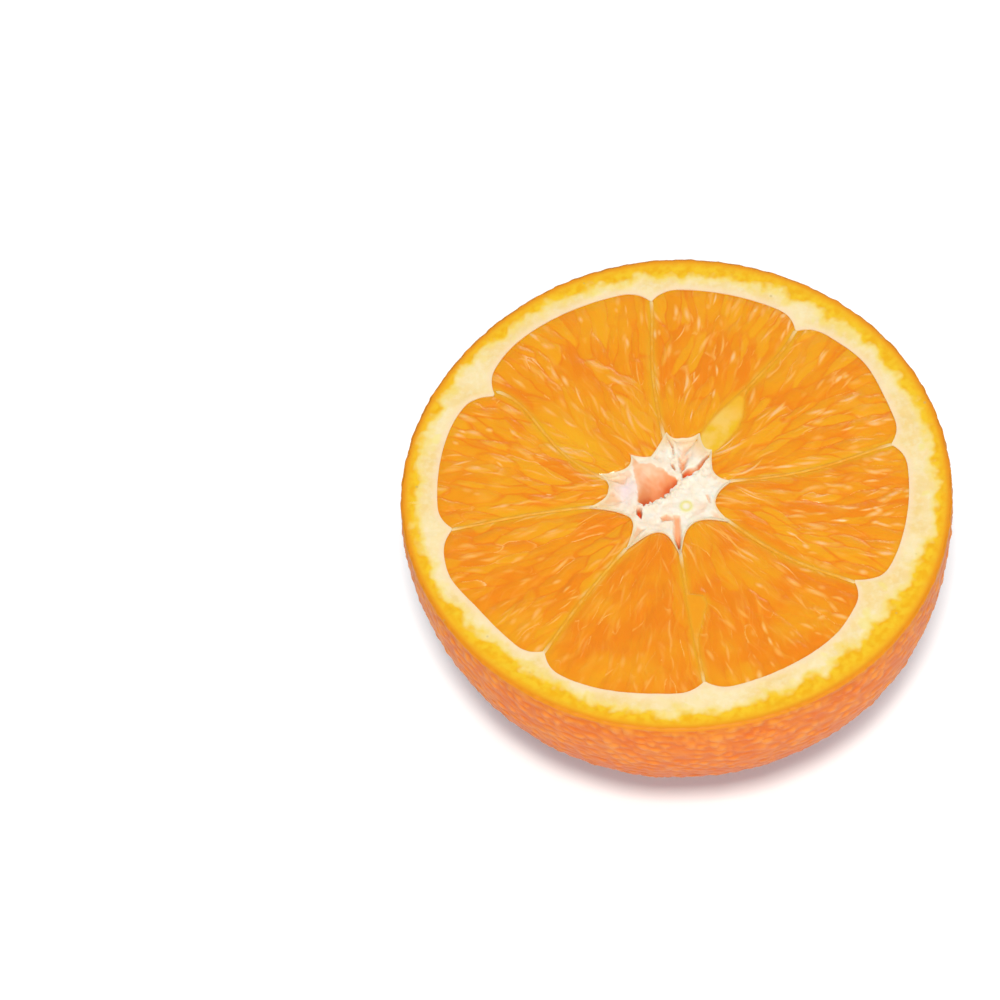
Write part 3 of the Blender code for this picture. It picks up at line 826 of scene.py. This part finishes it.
# (outline, depth under the cut, width of its soft edge, how far its colour is from white to red)
HOLLOWS = (
    (((1.1, 7.7), (2.1, 8.0), (3.2, 8.4), (4.2, 9.0), (3.8, 7.7), (3.1, 6.7), (2.8, 5.3), (1.3, 5.6)),
     0.7, 0.9, 0.33),
    (((1.1, 6.4), (3.0, 6.2), (2.8, 5.1), (2.4, 4.0), (1.6, 3.0), (1.3, 4.4)), 1.3, 0.8, 0.62),
    (((1.6, 2.4), (3.1, 2.8), (4.2, 3.7), (5.1, 4.7), (6.1, 6.5), (5.0, 5.7), (3.9, 4.5), (2.6, 4.1),
      (1.8, 3.5)), 1.3, 0.3, 1.0),
    (((0.1, 5.2), (0.6, 5.2), (1.0, 4.1), (0.9, 3.3), (0.3, 4.0)), 1.6, 0.3, 0.8),
    (((-4.9, -1.9), (-4.0, -2.3), (-4.2, -4.1), (-4.9, -3.1)), 1.6, 0.35, 1.0),
    (((-0.2, 9.3), (0.1, 9.2), (0.8, 7.8), (0.9, 6.6), (0.5, 6.4), (0.5, 7.6)), 1.1, 0.25, 0.6),
    (((-1.7, -3.6), (-0.7, -3.3), (0.6, -3.8), (0.5, -4.6), (-0.8, -4.5), (-1.5, -4.7)), 0.6, 0.4, 0.5),
    (((-8.9, 2.7), (-6.2, 1.5), (-5.7, 3.4), (-7.7, 3.0)), 0.5, 0.5, 0.35),
    (((-11.4, -1.0), (-8.2, 0.9), (-6.4, -1.0), (-8.6, -1.6)), 0.4, 0.5, 0.35),
    (((-7.2, -9.4), (-4.9, -4.7), (-3.7, -5.7), (-5.1, -7.4)), 0.5, 0.5, 0.40),
    (((8.4, 1.6), (6.4, 2.1), (5.5, 1.0), (6.8, 0.3)), 0.4, 0.6, 0.22),
    (((8.1, -5.3), (6.2, -3.6), (5.2, -4.0), (6.9, -5.1)), 0.5, 0.5, 0.28),
    (((4.6, 0.1), (5.5, -0.2), (5.8, -1.8), (5.2, -2.0)), 0.4, 0.5, 0.4),
)
# The slit on the camera's side: it is shallow and peach at its top, deep and red at its tip.
SLIT = ((0.0, -3.0), (1.5, -3.4), (1.55, -6.2), (1.4, -8.4), (1.0, -10.7), (0.45, -8.6), (0.1, -6.6))
# (path, half width) of the white ridges left standing between them.
RIDGES = (
    (((-2.6, 5.8), (-1.3, 5.0), (-0.4, 5.1), (0.2, 4.3), (0.9, 3.3)), 0.5),
    (((-1.3, 6.6), (-0.7, 6.0), (-0.4, 5.2)), 0.6),
    (((-0.6, 8.9), (-0.4, 8.0), (0.0, 7.2), (0.2, 6.3)), 0.4),
    (((0.4, 9.2), (1.0, 8.0), (1.1, 6.8), (1.0, 5.8)), 0.35),
    (((4.2, 7.3), (3.9, 6.2), (3.8, 5.2), (3.4, 4.6)), 0.75),
    (((-5.1, 1.6), (-5.1, 0.2), (-5.2, -1.2)), 0.5),
)
# A yellow ring of vein in the torn white.
VEIN_CENTRE = np.array((2.2, -2.2))
VEIN_RADIUS, VEIN_WIDTH = 0.72, 0.28
VEIN_DOWN, VEIN_RISE = 0.25, 0.08
ROSY_CENTRE, ROSY_WIDTH = np.array((-6.3, 1.0)), 2.0


def shifted(value, target, share):
    """A value moved by this share of the way to a target."""
    return value + (target - value) * share


def path_distance(points, path, closed=False):
    """Distance from each point to a path."""
    ends = list(path) + ([path[0]] if closed else [])
    nearest = np.full(len(points), np.inf)
    for start, end in zip(ends, ends[1:]):
        start, step = np.array(start), np.subtract(end, start)
        share = np.clip((points - start) @ step / (step @ step), 0, 1)
        nearest = np.minimum(nearest, np.linalg.norm(points - start - share[:, None] * step, axis=1))
    return nearest


def depth_inside(points, outline):
    """Distance from each point to a closed outline, positive inside it."""
    inside = np.zeros(len(points), bool)
    for (x0, y0), (x1, y1) in zip(outline, outline[1:] + outline[:1]):
        spans = (y0 > points[:, 1]) != (y1 > points[:, 1])
        slope = (x1 - x0) / (y1 - y0) if y1 != y0 else 0
        inside ^= spans & (points[:, 0] < x0 + (points[:, 1] - y0) * slope)
    return np.where(inside, 1, -1) * path_distance(points, outline, closed=True)


mesh, column, ring = ball_mesh("core", CORE_COLUMNS, CORE_TOP_RINGS + CORE_SIDE_RINGS)
bearing = column / CORE_COLUMNS * math.tau
outline = core_reach(bearing) + CORE_OVER_PULP
steepness = (core_reach(bearing + TINY_TURN) - core_reach(bearing - TINY_TURN)) / (2 * TINY_TURN)
reach = outline * np.clip(ring / CORE_TOP_RINGS, 0, 1)
reach[ring == CORE_TOP_RINGS + CORE_SIDE_RINGS] = 0
points = face_place(reach, bearing, 0)
flat = np.stack([reach * np.cos(bearing), reach * np.sin(bearing)], axis=1) / MM
to_outline = (outline - reach) / MM / np.sqrt(1 + (steepness / np.maximum(reach, MM)) ** 2)
to_crest = path_distance(flat, CREST)

# Torn pith all over, with the crest standing up from it.
torn = rough(points, TORN_SIZE)
fine = rough(points + 0.05, FINE_SIZE, 1)
billow = np.sqrt(0.03 + rough(points - 0.05, BILLOW_SIZE, 1) ** 2)
jags = rough(points - 0.09, JAG_SIZE)
wobble = 0.6 * torn + 0.35 * fine
crest_line = hump(to_crest, CREST_WIDTH)
down = CORE_SUNK - BILLOWS * billow - TEARS * torn - FINE_TEARS * fine
down -= CREST_RISE * crest_line * (1 + torn)

# The cleft's pink side slopes down to the crest's foot.
in_pink = depth_inside(flat, PINK_WALL) + wobble * 0.4 + (0.6 * wobble + jags) * crest_line
in_pink = smooth_step(-0.05, 0.35, in_pink)
slope = smooth_step(0, PINK_SLOPE, path_distance(flat, PINK_EDGE))
fall = PINK_FALL * np.clip(1 - to_crest / PINK_REACH, 0, 1) + CLEFT_FALL * hump(to_crest, CLEFT_WIDTH)
down = shifted(down, PINK_TOP + slope * fall, in_pink)
flush = (PINK_FLUSH + CLEFT_FLUSH * hump(to_crest, CLEFT_FLUSH_WIDTH) + 0.12 * torn) * in_pink

# The smaller hollows, the slit, the blush on the arms, and the ridges.
for hollow, depth, softness, redness in HOLLOWS:
    within = depth_inside(flat, hollow) + wobble * softness * 0.5 + 0.6 * jags * crest_line
    within = smooth_step(-0.05, softness, within)
    down = shifted(down, depth + 0.15 * torn, within)
    flush = shifted(flush, redness + 0.08 * torn, within)
slit = smooth_step(-0.1, 0.5, depth_inside(flat, SLIT) + 0.2 * wobble)
slit *= smooth_step(-2.8, -4.4, flat[:, 1] + 0.4 * torn)
tip = smooth_step(-6.0, -9.0, flat[:, 1])
down = shifted(down, SLIT_DEPTH + SLIT_TIP_FALL * tip, slit)
flush = shifted(flush, SLIT_FLUSH + SLIT_TIP_FLUSH * tip, slit)
blush_spots = smooth_step(-0.1, 0.6, rough(points, BLUSH_SIZE))
flush = np.maximum(flush, ARM_BLUSH * blush_spots * smooth_step(2.5, 6.5, reach / MM))
for ridge, half_width in RIDGES:
    crown = hump(path_distance(flat, ridge), half_width * (1 + 0.5 * torn))
    down = shifted(down, RIDGE_DOWN - BILLOWS * billow, crown)
    flush = flush * (1 - crown)

# The vein's ring lies on a level spot, and the lip all round laps over the pulp.
from_vein = np.linalg.norm(flat - VEIN_CENTRE, axis=1)
vein = hump(from_vein - VEIN_RADIUS, VEIN_WIDTH)
lip = hump(to_outline, LIP_WIDTH)
down = shifted(down, VEIN_DOWN, smooth_step(1.4, 0.9, from_vein)) - VEIN_RISE * vein
down = np.maximum(shifted(down, LIP_DOWN, lip), CORE_TOP)
points[:, 2] += np.where(ring > CORE_TOP_RINGS, -CORE_DEPTH, -down * MM)

core_material, tree, shader = new_material(
    "core_pith", Roughness=0.5, Subsurface_Weight=0.45, Subsurface_Scale=1.6 * MM,
    Subsurface_Radius=(1.0, 0.6, 0.4), Specular_IOR_Level=0.25,
)
flush_mask = attribute(tree, "flush")
core_shade, core_cream, core_fibre = pigment(252, 230, 204), pigment(253, 240, 218), pigment(255, 248, 234)
rose, pale_peach = pigment(252, 224, 222), pigment(255, 206, 168)
pink, red = pigment(252, 164, 106), pigment(246, 98, 36)
vein_yellow, juice_stain = pigment(240, 228, 128), pigment(251, 196, 122)
lip_cream = pigment(255, 224, 178)
fluff = tissue(tree, core_shade, core_cream, core_fibre, 300, 700, 0.6)
colour = mix(tree, attribute(tree, "rosy"), fluff["Color"], rose)
colour = mix(tree, from_to(tree, flush_mask, 0.08, 0.40), colour, pale_peach)
colour = mix(tree, from_to(tree, flush_mask, 0.40, 0.68), colour, pink)
colour = mix(tree, from_to(tree, flush_mask, 0.68, 1.0), colour, red)
colour = mix(tree, attribute(tree, "vein"), colour, vein_yellow)
colour = mix(tree, attribute(tree, "juice"), colour, juice_stain)
colour = mix(tree, from_to(tree, attribute(tree, "lip"), 0.2, 0.9, 0, 0.7), colour, lip_cream)
tree.links.new(colour, shader.inputs["Base Color"])
bumpy(tree, shader, fluff["Fibres"], 0.1 * MM, 0.25)
from_rosy = np.linalg.norm(flat - ROSY_CENTRE, axis=1)
finish_piece(
    "core", mesh, points, core_material,
    {
        "flush": flush * (1 - 0.7 * lip),
        "rosy": 0.8 * hump(from_rosy, ROSY_WIDTH),
        "vein": 0.8 * vein,
        "juice": 0.7 * smooth_step(6.5, 9.5, reach / MM) * (1 - np.clip(flush, 0, 1)),
        "lip": lip,
    },
)

# The stage: a plain white table under one warm soft box above the camera, with weak boxes in front
# and behind, a cool pale room, and a camera that looks down on the cut as the photograph does.
FLOOR_HALF_SIDE = 3.0
TABLE_WHITE = (0.90, 0.955, 0.98, 1)
ROOM_BLUE = (0.60, 0.85, 1.0, 1)
ROOM_LIGHT = 0.48
LIGHT_DISTANCE = 2.0
bm = bmesh.new()
bmesh.ops.create_grid(bm, x_segments=1, y_segments=1, size=FLOOR_HALF_SIDE)
floor_mesh = bpy.data.meshes.new("floor")
bm.to_mesh(floor_mesh)
bm.free()
floor = bpy.data.objects.new("floor", floor_mesh)
bpy.context.scene.collection.objects.link(floor)
floor_material, tree, shader = new_material("white_table", Roughness=0.8, Specular_IOR_Level=0.1)
shader.inputs["Base Color"].default_value = TABLE_WHITE
floor_mesh.materials.append(floor_material)
floor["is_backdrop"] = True

face_centre = Vector((0, 0, CUT_HEIGHT))


def soft_light(name, direction, size, power, colour):
    """A square soft box that faces the fruit from this direction."""
    data = bpy.data.lights.new(name, "AREA")
    data.size = size
    data.energy = power
    data.color = colour
    light = bpy.data.objects.new(name, data)
    way = Vector(direction).normalized()
    light.location = face_centre + way * LIGHT_DISTANCE
    light.rotation_euler = way.to_track_quat("Z", "Y").to_euler()
    bpy.context.scene.collection.objects.link(light)


soft_light("light_key", (0.0, -0.40, 0.915), size=0.24, power=35.4, colour=(1.0, 0.89, 0.80))
soft_light("light_front", (0.12, -1.0, 0.55), size=1.1, power=12.5, colour=(0.95, 0.97, 1.0))
soft_light("light_back", (0.25, 1.0, 0.42), size=1.0, power=10.5, colour=(1.0, 0.93, 0.86))
world = bpy.data.worlds.new("room")
world.use_nodes = True
background = world.node_tree.nodes["Background"]
background.inputs["Color"].default_value = ROOM_BLUE
background.inputs["Strength"].default_value = ROOM_LIGHT
bpy.context.scene.world = world
bpy.context.scene.view_settings.view_transform = "Standard"

# The camera, measured on the photograph: the cut face's middle and radius in its pixels.
FRAME_PIXELS = 1000
SENSOR = 36.0
FACE_PIXEL = (677.8, 490.6)
FACE_RADIUS_PIXELS = 275.6
CAMERA_DISTANCE = 0.975
ELEVATION = math.radians(58.8)
ROLL = math.radians(2.5)
focal_pixels = FACE_RADIUS_PIXELS * CAMERA_DISTANCE / CUT_RADIUS
camera_data = bpy.data.cameras.new("camera")
camera_data.sensor_width = SENSOR
camera_data.lens = focal_pixels / FRAME_PIXELS * SENSOR
camera = bpy.data.objects.new("camera", camera_data)
bpy.context.scene.collection.objects.link(camera)
back = Vector((0, -math.cos(ELEVATION), math.sin(ELEVATION)))
aim = back.to_track_quat("Z", "Y")
from_middle = Vector((FACE_PIXEL[0] - FRAME_PIXELS / 2, FRAME_PIXELS / 2 - FACE_PIXEL[1], -focal_pixels))
pan = Vector((0, 0, -1)).rotation_difference(from_middle)
roll = Quaternion((0, 0, 1), -ROLL)
camera.rotation_mode = "QUATERNION"
camera.rotation_quaternion = aim @ roll @ pan.inverted()
camera.location = face_centre + back * CAMERA_DISTANCE
camera_data.clip_start = 0.01
bpy.context.scene.camera = camera

visual_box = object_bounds()
sizes = {"cad": [list(corner) for corner in cad_box], "visual": [list(corner) for corner in visual_box]}
